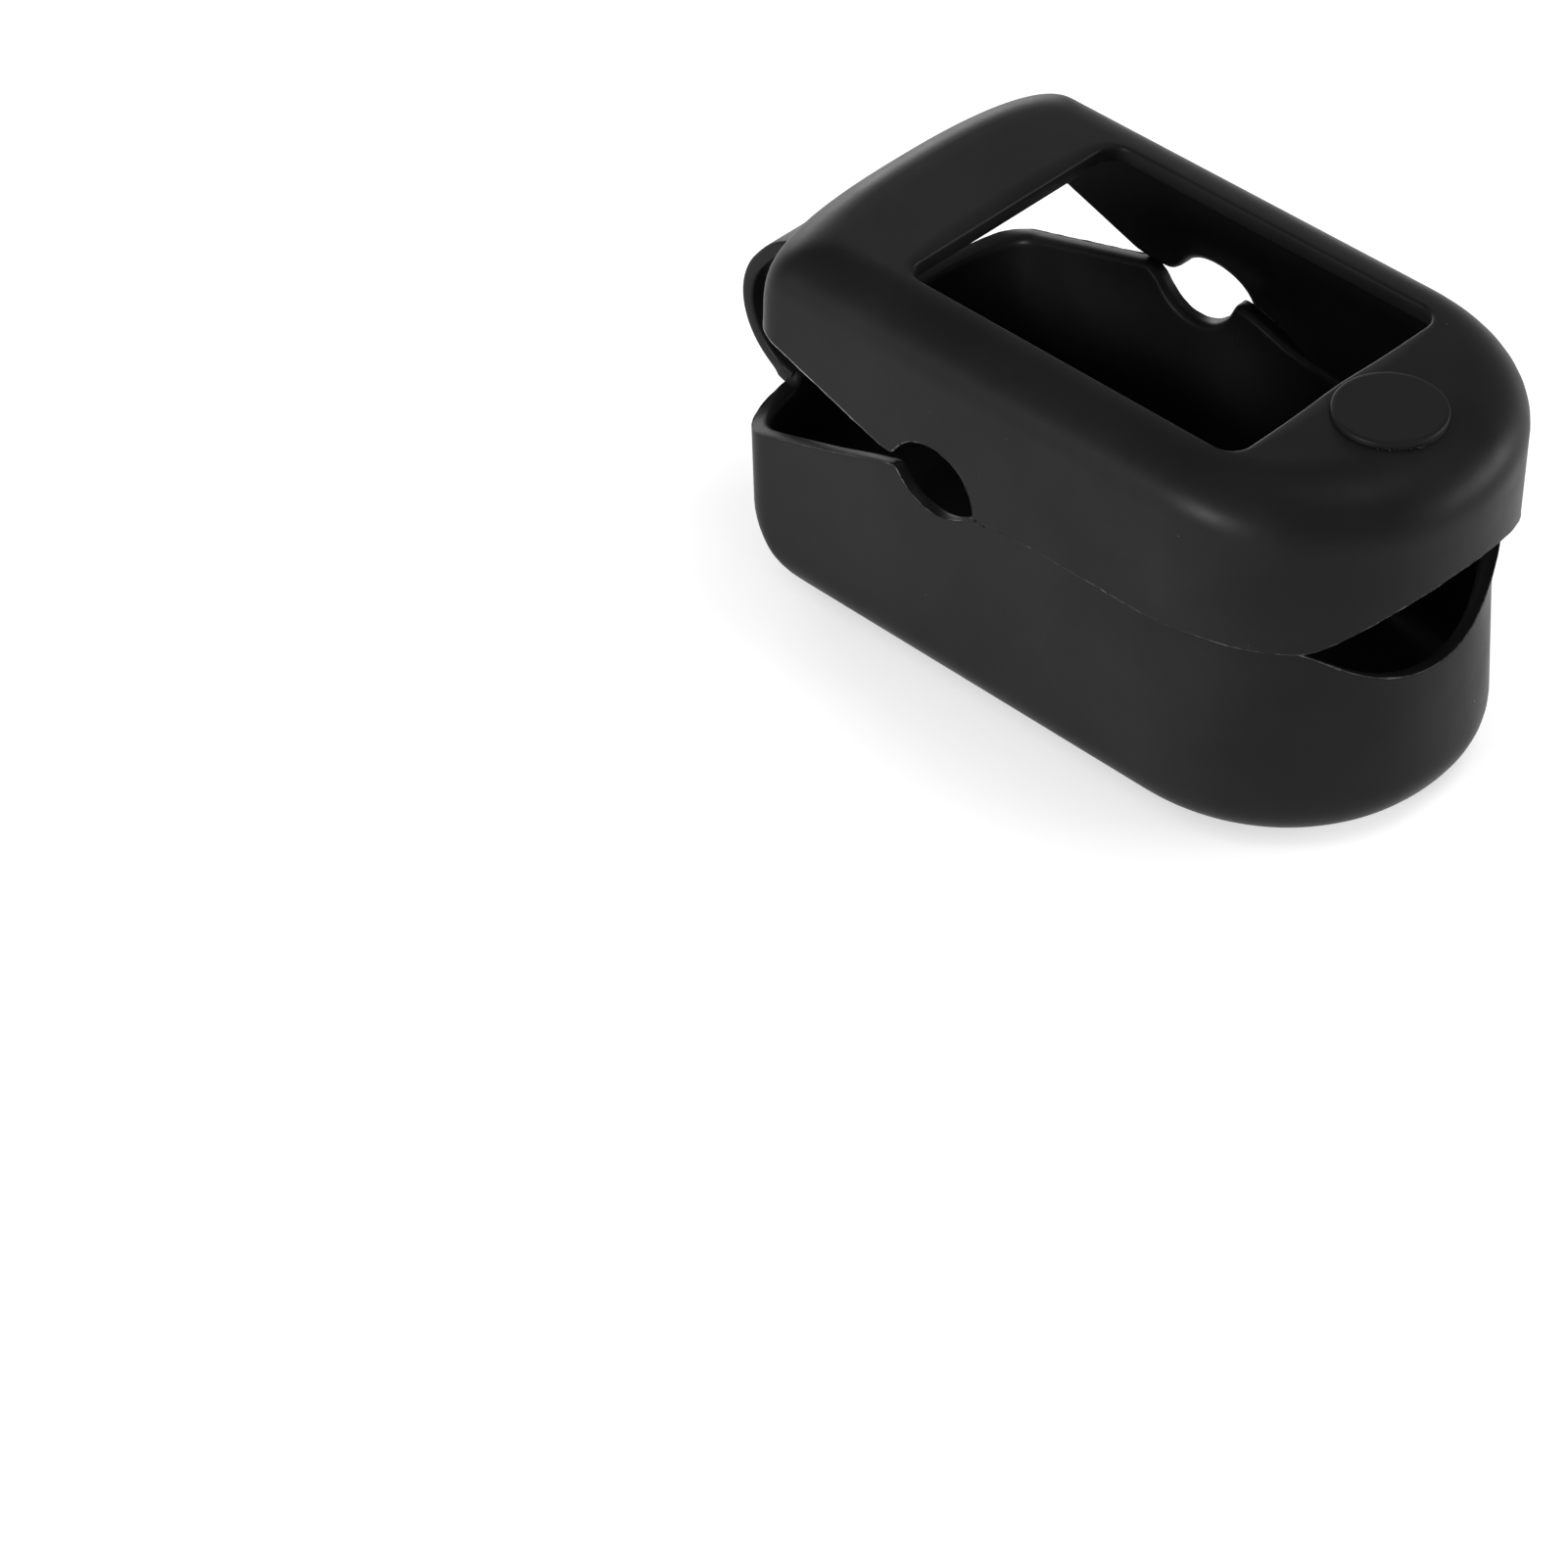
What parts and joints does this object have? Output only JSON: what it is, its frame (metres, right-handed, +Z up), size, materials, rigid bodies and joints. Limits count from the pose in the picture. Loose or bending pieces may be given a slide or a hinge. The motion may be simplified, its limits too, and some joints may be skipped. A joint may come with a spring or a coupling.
{
  "type": "fingertip pulse oximeter cover",
  "caption": "Soft silicone protective cover for a fingertip pulse oximeter, with display window, button pad, finger opening and folding rear straps.",
  "frame": {"origin": "centre of the flat underside of the lower shell", "axes": "+X along the cover to the finger end, +Y across it, +Z up through the display window"},
  "size_m": [0.0683, 0.0342, 0.0352],
  "materials": {
    "shell_silicone": "satin black silicone, moulded",
    "pad_silicone": "satin black silicone, raised pad",
    "strap_silicone": "satin black silicone, thin strap"
  },
  "bodies": {
    "lower_shell": {"lower_shell": "shell_silicone"},
    "strap_link_1": {"strap_left_1": "strap_silicone", "strap_right_1": "strap_silicone"},
    "strap_link_2": {"strap_left_2": "strap_silicone", "strap_right_2": "strap_silicone"},
    "strap_link_3": {"strap_left_3": "strap_silicone", "strap_right_3": "strap_silicone"},
    "strap_link_4": {"strap_left_4": "strap_silicone", "strap_right_4": "strap_silicone"},
    "upper_shell": {"upper_shell": "shell_silicone"},
    "button_pad": {"button_pad": "pad_silicone"}
  },
  "joints": [
    {"name": "strap_fold_1", "type": "hinge", "parent": "lower_shell", "child": "strap_link_1", "pos_m": [-0.03218, 0, 0.01487], "axis": [0, -1, 0], "range_deg": [0, 75]},
    {"name": "strap_fold_2", "type": "hinge", "parent": "strap_link_1", "child": "strap_link_2", "pos_m": [-0.03488, 0, 0.0186], "axis": [0, -1, 0], "range_deg": [0, 48]},
    {"name": "strap_fold_3", "type": "hinge", "parent": "strap_link_2", "child": "strap_link_3", "pos_m": [-0.03488, 0, 0.0232], "axis": [0, -1, 0], "range_deg": [0, 35]},
    {"name": "strap_fold_4", "type": "hinge", "parent": "strap_link_3", "child": "strap_link_4", "pos_m": [-0.03218, 0, 0.02693], "axis": [0, -1, 0], "range_deg": [0, 22]},
    {"name": "squeeze_rock", "type": "hinge", "parent": "strap_link_4", "child": "upper_shell", "pos_m": [-0.007, 0, 0.0206], "axis": [0, -1, 0], "range_deg": [0, 12]},
    {"name": "button_press", "type": "slide", "parent": "upper_shell", "child": "button_pad", "axis": [0, 0, -1], "range_m": [0, 0.0004], "stiffness_N_per_m": 1500}
  ],
  "couplings": [
    {"joint": "strap_fold_2", "follows": "strap_fold_1", "ratio": 0.64},
    {"joint": "strap_fold_3", "follows": "strap_fold_1", "ratio": 0.46667},
    {"joint": "strap_fold_4", "follows": "strap_fold_1", "ratio": 0.29333}
  ]
}
